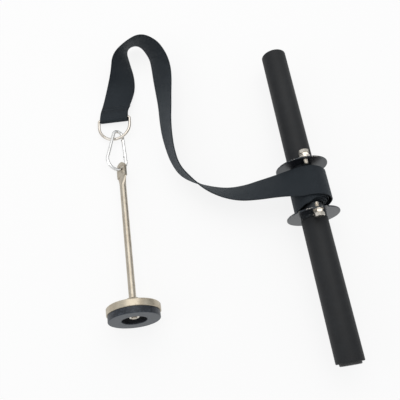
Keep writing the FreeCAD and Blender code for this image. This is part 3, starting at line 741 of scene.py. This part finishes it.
@dataclass
class Strap:
    """The webbing, one piece from its inner end on the spool to its sewn loop at the ring, in millimetres."""

    ring: Ring
    width: float = 45.0
    thick: float = 1.8
    leave_angle: float = -20.0
    loose_middle: Pair = (3.7, -0.6)
    loose_radius: float = 27.9
    joint_angle: float = 225.0
    tight_middle: Pair = (2.55, -1.75)
    tight_radius: float = 26.28
    tight_end: float = 340.0
    lay: tuple[Pair, ...] = (
        (-20, 7.2), (80, 3.0), (180, -4.0), (265, -8.6), (295, -8.2), (330, -3.5), (365, 2.5), (400, 5.5),
        (480, 5.0), (700, 2.0), (1700, 0.0))
    inner_turns: float = 3.55
    inner_middle: Pair = (0.7, -0.1)
    inner_radius: float = 17.3
    second_turn_drop: float = 4.3
    cuts_per_turn: int = 72
    outer_cuts: int = 110
    loop_cuts: int = 28
    lap: float = 24.0
    seam: float = 13.0
    slack: Pair = (3.0, 0.4)
    seam_rows: tuple[float, ...] = (12.6, 15.0, 22.0)
    layer_step: float = 1.9
    free_sections: int = 300
    thread_radius: float = 0.24
    stitches_across: int = 15
    stitches_along: int = 3
    seam_reach: float = 0.9
    cut_length: float = 1.29
    far_edge: list[Triple] = field(default_factory=lambda: [
        (-5.8, 29.7, 63.6), (-16, 29.7, 59.9), (-27, 29.9, 53), (-43, 31, 40), (-62, 32, 28), (-85, 32, 16),
        (-109, 35, 7), (-133, 43, 3), (-157, 54, 1), (-178, 69, 2), (-189, 93, 4), (-194, 118, 5),
        (-197, 144, 6), (-197, 170, 6), (-196, 195, 5), (-197, 221, 4), (-198, 246, 4), (-198, 272, 2),
        (-199, 296, 1), (-214, 323, 7), (-238, 316, 7), (-233, 285, 1), (-229, 261, 2), (-230, 234, 3)])
    near_edge: list[Triple] = field(default_factory=lambda: [
        (-5.8, -15.3, 63.6), (-16, -15, 60.4), (-30, -12.5, 62), (-51, -9.5, 58), (-75, -6, 49),
        (-100, -1, 42), (-124, 9, 40), (-146, 24, 41), (-163, 44, 44), (-178, 66, 47), (-182, 92, 49),
        (-182, 118, 49), (-180, 145, 48), (-176, 171, 46), (-173, 196, 43), (-169, 222, 40), (-167, 249, 37),
        (-171, 275, 38), (-184, 299, 44), (-209, 310, 51), (-236, 297, 49), (-258, 284, 40), (-264, 258, 31),
        (-273, 242, 14)])
    far_end: list[Triple] = field(default_factory=lambda: [(28.5, 25, -2.2), (22.5, 12, 0.9)])
    near_end: list[Triple] = field(default_factory=lambda: [(-18.5, 28, -2.6), (-22.5, 13, 0.9)])

    def _turn_section(self, angle: float, middle: Pair, radius: float, along: float) -> Section:
        """One cut of the wound strap.

        Args:
            angle: Degrees clockwise from the top.
            middle: The turn's middle, right of and above the tube's axis, in millimetres.
            radius: To the middle of the strap's thickness.
            along: Where its middle is along the tube.

        Returns:
            The cut.
        """
        turn = math.radians(angle)
        out = Vector((math.sin(turn), 0.0, math.cos(turn)))
        centre = Vector((middle[0], along, AXIS_HEIGHT + middle[1])) + out * radius
        half = Vector((0.0, self.width / 2, 0.0))
        return Section(to_place(centre + half), to_place(centre - half), out)

    def _lay(self, angle: float) -> float:
        """Where the wound strap's middle lies along the tube.

        Args:
            angle: Degrees from the top, counted inwards through the turns.

        Returns:
            Millimetres left of the middle between the flanges.
        """
        for (start, low), (stop, high) in zip(self.lay, self.lay[1:]):
            if angle <= stop:
                part = max(0.0, (angle - start) / (stop - start))
                return low + (high - low) * part * part * (3 - 2 * part)
        return self.lay[-1][1]

    def _wound(self) -> list[Section]:
        """The wound turns, from the inner end to where the strap leaves.

        Returns:
            Their cuts.
        """
        cuts = []
        inner = int(self.inner_turns * self.cuts_per_turn)
        for k in range(inner):
            share = 1 - k / inner
            turns = share * self.inner_turns
            first_radius = self.tight_radius - self.second_turn_drop * (1 - (1 - min(turns, 1.0)) ** 2)
            rest = max(turns - 1, 0.0) / (self.inner_turns - 1)
            radius = first_radius + (self.inner_radius - first_radius) * rest
            moved = min(1.0, share * 1.6)
            middle = tuple(a + (b - a) * moved for a, b in zip(self.tight_middle, self.inner_middle))
            angle = self.tight_end + turns * 360
            cuts.append(self._turn_section(angle, middle, radius, self._lay(angle)))
        whole = self.tight_end - self.leave_angle
        for k in range(self.outer_cuts):
            angle = self.tight_end - whole * k / self.outer_cuts
            middle, radius = self.loose_middle, self.loose_radius
            if angle > self.joint_angle:
                middle, radius = self.tight_middle, self.tight_radius
            cuts.append(self._turn_section(angle, middle, radius, self._lay(angle)))
        return cuts

    def _free(self) -> list[Section]:
        """The free stretch, from the spool to the ring.

        Returns:
            Its cuts.
        """
        lean = math.radians(self.ring.lean)
        down, up = self.ring.loop_radius * math.sin(lean), self.ring.loop_radius * math.cos(lean)
        curves = []
        for points, end, side in ((self.far_edge, self.far_end, 1), (self.near_edge, self.near_end, -1)):
            last = [self.ring.place(p) for p in (*end, (side * self.width / 2, down, up))]
            curves.append(SmoothCurve([to_place(p) for p in points] + last))
        far, near = curves
        cuts = []
        for k in range(self.free_sections + 1):
            share = k / self.free_sections
            a, b = far.at(share), near.at(share)
            before, after = max(share - 0.002, 0.0), min(share + 0.002, 1.0)
            way = far.at(after) - far.at(before) + near.at(after) - near.at(before)
            cuts.append(Section(a, b, -(b - a).cross(way).normalized()))
        return cuts

    def _looped(self, free: Sequence[Section]) -> list[Section]:
        """The loop round the ring's bar and the lap under the strap.

        Args:
            free: The free stretch.

        Returns:
            The cuts that follow it.
        """
        cuts = []
        half = self.width / 2
        start, end = 90 - self.ring.lean, 270 + self.ring.lean
        for k in range(1, self.loop_cuts + 1):
            turn = math.radians(start + (end - start) * k / self.loop_cuts)
            local = Vector((0.0, math.cos(turn), math.sin(turn)))
            middle = local * self.ring.loop_radius
            loose = math.sin(math.pi * k / self.loop_cuts)
            far = middle + Vector((half, -self.slack[0] * loose, 0))
            near = middle + Vector((-half, -self.slack[1] * loose, 0))
            cuts.append(Section(self.ring.place(far), self.ring.place(near), -self.ring.way(local)))
        up = self.ring.way((0.0, 0.0, 1.0))
        opening = 2 * self.ring.loop_radius * math.cos(math.radians(self.ring.lean))
        for cut in reversed(free[:-1]):
            behind = self.ring.behind(cut.middle)
            if behind > self.lap:
                break
            closing = max(0.0, 1 - behind / self.seam)
            step = up * (self.layer_step + (opening - self.layer_step) * closing ** 1.6) * MM
            cuts.append(Section(cut.far - step, cut.near - step, -cut.out))
        return cuts

    def _profile(self) -> list[Pair]:
        """The outline of one cut, with full rounded selvedges.

        Returns:
            Half widths and half thicknesses round it.
        """
        across = [0.0, 0.2, 0.4, 0.6, 0.78, 0.88, 0.925, 0.955, 0.98, 0.995]
        high = [1.0, 1.0, 1.0, 1.0, 1.0, 0.97, 0.9, 1.0, 0.82, 0.45]
        top = [(-a, h) for a, h in zip(across[:0:-1], high[:0:-1])] + list(zip(across, high))
        return top + [(1.0, 0.0)] + [(a, -h) for a, h in reversed(top)] + [(-1.0, 0.0)]

    def _seam_lengths(self, cuts: Sequence[Section], lengths: Sequence[float]) -> tuple[float, ...]:
        """Where the seams across the strap are, along it.

        Args:
            cuts: The strap's cuts.
            lengths: How far along the strap each is, in metres.

        Returns:
            One length for each row in each of the two layers.
        """
        found = []
        for a, b, start, stop in zip(cuts, cuts[1:], lengths, lengths[1:]):
            if start < lengths[-1] - 0.075:
                continue
            near, far = sorted((self.ring.behind(a.middle), self.ring.behind(b.middle)))
            found += [start + (stop - start) / 2 for row in self.seam_rows if near <= row < far]
        return tuple(found)

    def ribbon(self) -> tuple[bpy.types.Object, tuple[float, ...]]:
        """Builds the strap.

        Returns:
            The strap's object, with its layout across and along in metres, and the seams' places along it.
        """
        free = self._free()
        cuts = self._wound() + free + self._looped(free)
        profile = self._profile()
        lengths = [0.0]
        for a, b in zip(cuts, cuts[1:]):
            lengths.append(lengths[-1] + (b.middle - a.middle).length)
        LOG.info("strap: %d cuts, %.3f m long", len(cuts), lengths[-1])
        rings = []
        for k, cut in enumerate(cuts):
            half = (cut.far - cut.near) / 2
            end = min(1.0, 0.55 + 0.25 * min(k, len(cuts) - 1 - k))
            thick = self.thick / 2 * MM * end
            rings.append([cut.middle + half * a + cut.out * (thick * h) for a, h in profile])
        shape = Shape()
        shape.loft(rings)
        made = shape.make("webbing_strap", 60.0)
        layout = made.data.uv_layers.new(name="strap_layout")
        count = len(profile)
        for loop in made.data.loops:
            k, j = divmod(loop.vertex_index, count)
            layout.data[loop.index].uv = ((profile[j][0] + 1) * self.width / 2 * MM, lengths[k])
        return made, self._seam_lengths(cuts, lengths)

    def stitching(self) -> bpy.types.Object:
        """Builds the seams that hold the folded end, above and below.

        Returns:
            The thread's object.
        """
        free = self._free()
        end = [(self.ring.behind(c.middle), c) for c in free if self.ring.behind(c.middle) < self.lap + 4]
        end = [pair for pair in end if (pair[1].middle - free[-1].middle).length < 40 * MM]
        up = self.ring.way((0.0, 0.0, 1.0))

        def on_strap(behind: float, across: float, below: bool) -> Vector:
            """Point on the strap's upper face, or on the lap's lower one.

            Args:
                behind: Millimetres behind the ring's bar.
                across: From -1 at the near edge to 1 at the far one.
                below: Whether it is on the lap.

            Returns:
                The point.
            """
            for (far_off, a), (close, b) in zip(end, end[1:]):
                if far_off >= behind >= close:
                    part = (far_off - behind) / (far_off - close)
                    half = (a.far - a.near).lerp(b.far - b.near, part) / 2
                    point = a.middle.lerp(b.middle, part) + half * across
                    out = a.out.lerp(b.out, part).normalized() * self.thick / 2 * MM
                    return point + out - up * self.layer_step * MM if below else point - out
            return end[0][1].middle

        shape = Shape()
        reach = self.seam_reach
        first_row, last_row = self.seam_rows[1:]
        runs = [((row, -reach), (row, reach), self.stitches_across) for row in self.seam_rows]
        runs += [((first_row, side), (last_row, side), self.stitches_along) for side in (-reach, reach)]
        for start, stop, count in runs:
            for k in range(count):
                for below in (False, True):
                    path = []
                    for j in range(7):
                        share = (k + 0.06 + 0.88 * j / 6) / count
                        behind = start[0] + (stop[0] - start[0]) * share
                        across = start[1] + (stop[1] - start[1]) * share
                        lift = math.sin(math.pi * j / 6) * 0.28 * MM - 0.12 * MM
                        path.append(on_strap(behind, across, below) + up * (-lift if below else lift))
                    shape.tube(path, self.thread_radius * MM)
        return shape.make("strap_stitching")

    def build(self, thread: bpy.types.Material) -> None:
        """Builds the strap and its stitching and ties them to the frame.

        Args:
            thread: The thread's material.
        """
        made, seams = self.ribbon()
        made.data.materials.append(Webbing(seams=seams).material())
        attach(made, "strap")
        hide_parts("strap_winding_core", "strap_outer_turn", "strap_free", "strap_end_loop")
        sewn = self.stitching()
        sewn.data.materials.append(thread)
        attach(sewn, "strap")
        self.width * MM


@dataclass
class LockScrews:
    """The two hexagon-headed screws with cut threads, one through each flange, in millimetres."""

    from_axis: float = 29.6
    diameter: float = 6.0
    pitch: float = 1.0
    thread_depth: float = 0.55
    length: float = 16.0
    across_flats: float = 13.0
    head_height: float = 5.3
    nut_height: float = 4.2
    washers: Pair = (3.2, 1.0)
    crown_share: float = 0.95
    chamfer: float = 30.0
    dish: float = 0.12
    point: Pair = (1.2, 0.9)
    run_out: float = 0.8
    rows_per_pitch: int = 8
    sides: int = 48

    def _place(self, side: int, under_head: float, turn: float, radius: float, height: float) -> Vector:
        """Point of one screw in the object's frame.

        Args:
            side: 1 for the left flange's screw, -1 for the right one's.
            under_head: Millimetres from the tube's middle to the head's underside.
            turn: Radians round the screw.
            radius: Millimetres from its axis.
            height: Millimetres outwards from the head's underside.

        Returns:
            The point in metres.
        """
        x = radius * math.cos(turn)
        z = AXIS_HEIGHT + self.from_axis + radius * math.sin(turn)
        return to_place((x, side * (under_head + height), z))

    def _hex_radius(self, turn: float) -> float:
        """Distance from the axis to the hexagon's side at an angle."""
        part = (turn + math.pi / 6) % (math.pi / 3) - math.pi / 6
        return self.across_flats / 2 / math.cos(part)

    def _one(self, shape: Shape, side: int, washer: float) -> None:
        """Adds one screw.

        Args:
            shape: The mesh that it goes into.
            side: 1 for left, -1 for right.
            washer: Thickness of its washer in millimetres.
        """
        under_head = FLANGE_FACE + FLANGE_THICK + washer + self.nut_height
        turns = [2 * math.pi * j / self.sides for j in range(self.sides)]
        crown = self.across_flats / 2 * self.crown_share
        slope = math.tan(math.radians(self.chamfer))
        head: list[list[Vector]] = [[] for _ in range(5)]
        for t in turns:
            corner = self._hex_radius(t)
            cut = max(0.0, corner - crown) * slope
            outline = ((min(corner, crown), 0.0), (corner, cut), (corner, self.head_height - cut),
                       (crown, self.head_height), (crown / 2, self.head_height - self.dish))
            for ring, (radius, height) in zip(head, outline):
                ring.append(self._place(side, under_head, t, radius, height))
        shape.loft(head)
        rows = int(self.length / self.pitch * self.rows_per_pitch)
        point_length, point_depth = self.point
        rings = []
        for k in range(rows + 1):
            depth = self.length * k / rows
            point = max(0.0, 1 - (self.length - depth) / point_length) * point_depth
            cut = self.thread_depth * min(1.0, depth / self.run_out)
            ring = []
            for t in turns:
                phase = abs(((depth / self.pitch - t / (2 * math.pi)) % 1.0) * 2 - 1)
                crest = min(1.0, max(0.0, phase * 1.35 - 0.15))
                radius = self.diameter / 2 - cut * (1 - crest) - point
                ring.append(self._place(side, under_head, t, radius, -depth))
            rings.append(ring)
        shape.loft(rings)

    def build(self, metal: bpy.types.Material) -> None:
        """Builds both screws and ties them to the frame.

        Args:
            metal: Their material.
        """
        shape = Shape()
        for side, washer in zip((1, -1), self.washers):
            self._one(shape, side, washer)
        made = shape.make("lock_screws", 25.0)
        made.data.materials.append(metal)
        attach(made, "handle")
        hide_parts("flange_screws")


@dataclass
class Dressing:
    """Gives the carried-over solids their finishes."""

    nodes: dict[str, bpy.types.Object]

    def dress(self, finish: bpy.types.Material, *names: str) -> None:
        """Puts one finish on some of them.

        Args:
            finish: The material.
            *names: The solids.
        """
        for name in names:
            piece = self.nodes[name]
            piece.data.materials.clear()
            piece.data.materials.append(finish)
            LOG.info("dressed %s in %s", name, finish.name)


@dataclass
class Studio:
    """Camera, soft lights, pale floor and white surroundings."""

    eye: Triple = (-64.4, -296.7, 721.0)
    ahead: Triple = (0.0565, 0.3654, -0.9291)
    lens: float = 45.9
    ambient: float = 0.62
    key_power: float = 7.5
    fill_power: float = 1.6
    walls: tuple[Pair, ...] = (
        (0.05, 0.95), (0.12, 0.32), (0.22, 0.36), (0.30, 0.94), (0.55, 0.94), (0.63, 0.5), (0.70, 0.5),
        (0.78, 1.0))
    floor_radius: float = 6.0
    floor_sides: int = 64
    floor_glow: float = 0.84

    def camera(self) -> None:
        """Places the camera where the photograph was taken from."""
        data = bpy.data.cameras.new("camera")
        data.sensor_width = 36.0
        data.lens = self.lens
        data.clip_start, data.clip_end = 0.01, 20.0
        made = in_scene("camera", data)
        back = -Vector(self.ahead).normalized()
        right = Vector((0.0, 0.0, 1.0)).cross(back).normalized()
        up = back.cross(right)
        turn = Matrix((right, up, back)).transposed().to_4x4()
        made.matrix_world = Matrix.Translation(Vector(self.eye) * MM) @ turn
        bpy.context.scene.camera = made

    def _softbox(self, name: str, at: Triple, size: float, power: float, colour: Triple) -> None:
        """One square soft light that looks at the object.

        Args:
            name: The light's name.
            at: Where it is, in metres.
            size: Its side in metres.
            power: Its power in watts.
            colour: Its colour.
        """
        data = bpy.data.lights.new(name, "AREA")
        data.shape = "SQUARE"
        data.size = size
        data.energy = power
        data.color = colour
        made = in_scene(name, data)
        made.location = at
        made.rotation_mode = "QUATERNION"
        made.rotation_quaternion = (-Vector(at)).to_track_quat("-Z", "Y")

    def lights(self) -> None:
        """Places a large light overhead and a weaker one at the left."""
        self._softbox("overhead_softbox", (0.05, 0.5, 1.3), 1.5, self.key_power, (1.0, 0.975, 0.94))
        self._softbox("side_softbox", (-1.1, -0.25, 0.75), 0.7, self.fill_power, (0.94, 0.97, 1.0))

    def surroundings(self) -> None:
        """Sets a white room with a darker band of walls that polished metal mirrors."""
        recipe = Recipe("studio", world=True)
        _, _, height = recipe.parts(recipe.add("ShaderNodeTexCoord", {}, {}, "Generated"))
        walls = [(at, (shade * 0.97, shade * 0.985, shade)) for at, shade in self.walls]
        stops = [(0.0, (0.95, 0.95, 0.95)), *walls, (1.0, (1.0, 0.99, 0.97))]
        room = recipe.add("ShaderNodeValToRGB", {"stops": stops}, {0: height})
        direct, mirrored, through = recipe.rays()
        plain = recipe.add("ShaderNodeBackground", {}, {0: (0.97, 0.985, 1.0), 1: self.ambient})
        reflected = recipe.add("ShaderNodeBackground", {}, {0: room})
        white = recipe.add("ShaderNodeBackground", {}, {0: (1.0, 1.0, 1.0)})
        light = recipe.add("ShaderNodeMixShader", {}, {0: mirrored, 1: plain, 2: reflected})
        whole = recipe.add("ShaderNodeMixShader", {}, {0: direct.most(through), 1: light, 2: white})
        bpy.context.scene.world = recipe.end(whole)

    def floor(self) -> None:
        """Lays a pale floor that keeps a faint shadow and turns white further off."""
        shape = Shape()
        turns = [2 * math.pi * k / self.floor_sides for k in range(self.floor_sides)]
        shape.points = [Vector((math.cos(t), math.sin(t), 0.0)) * self.floor_radius for t in turns]
        shape.faces.append(tuple(range(self.floor_sides)))
        made = shape.make("floor")
        recipe = Recipe("pale_floor")
        at = recipe.place()
        tone = recipe.blend(recipe.noise(at, 4 * MM, 3), (0.92, 0.92, 0.92), (0.95, 0.95, 0.95))
        card = recipe.add("ShaderNodeBsdfDiffuse", {}, {"Color": tone})
        glow = recipe.add("ShaderNodeEmission", {}, {"Color": (1.0, 1.0, 1.0), "Strength": 1.0})
        direct, mirrored, through = recipe.rays()
        away = recipe.vector("LENGTH", at, None, "Value").between(0.5, 2.6)
        share = direct.most(mirrored).most(through) * (self.floor_glow + away * (1 - self.floor_glow))
        mixed = recipe.add("ShaderNodeMixShader", {}, {0: share, 1: card, 2: glow})
        made.data.materials.append(recipe.end(mixed))
        made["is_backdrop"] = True

    def build(self) -> None:
        """Sets up everything round the object."""
        self.camera()
        self.lights()
        self.surroundings()
        self.floor()
        bpy.context.scene.view_settings.view_transform = "Standard"


def main() -> None:
    """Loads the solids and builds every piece."""
    logging.basicConfig(level=logging.INFO, format="%(name)s: %(message)s")
    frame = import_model()
    before = [v.copy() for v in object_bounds()]
    Studio().build()

    pin_axis = Axis((-265.8, 90.6, 8.3), (-0.0061, -0.9919, 0.1267))
    bright = BrightMetal("lock_screw_zinc", screen(222, 216, 206), screen(168, 156, 138), 0.2)
    nickel = BrightMetal("ring_nickel", screen(214, 208, 200), screen(160, 146, 128), 0.13)
    chrome = BrightMetal("clip_nickel", screen(240, 240, 239), screen(200, 198, 195), 0.12)
    rod = BrightMetal("rod_nickel", screen(188, 180, 166), screen(144, 129, 109), 0.29, Marks.DRAWN, pin_axis)
    disc = BrightMetal("disc_nickel", screen(188, 179, 162), screen(138, 119, 96), 0.35, Marks.TURNED,
                       pin_axis)
    zinc = bright.material()

    dressing = Dressing(frame["nodes"])
    dressing.dress(GripRubber().material(), "left_grip", "right_grip")
    dressing.dress(MouldedPlastic().material(), "left_end_plug", "right_end_plug")
    dressing.dress(PaintedSteel().material(), "left_flange", "right_flange")
    hub_paint = PaintedSteel("hub_paint", screen(17, 17, 19), 18.5 * MM, 0.4)
    dressing.dress(hub_paint.material(), "left_flange_hub", "right_flange_hub", "core_tube")
    dressing.dress(zinc, "flange_jam_nuts", "flange_washers", "strap_anchor_screw", "strap_anchor_washer")
    dressing.dress(nickel.material(), "d_ring")
    dressing.dress(chrome.material(), "carabiner_body", "carabiner_gate", "gate_rivet", "gate_spring")
    dressing.dress(rod.material(), "loading_rod")
    dressing.dress(disc.material(), "base_disc")
    dressing.dress(zinc, "base_washer", "base_nut")
    dressing.dress(FootRubber(axis=pin_axis).material(), "rubber_ring")

    LockScrews().build(zinc)
    Strap(Ring()).build(SewingThread().material())


if __name__ == "__main__":
    main()
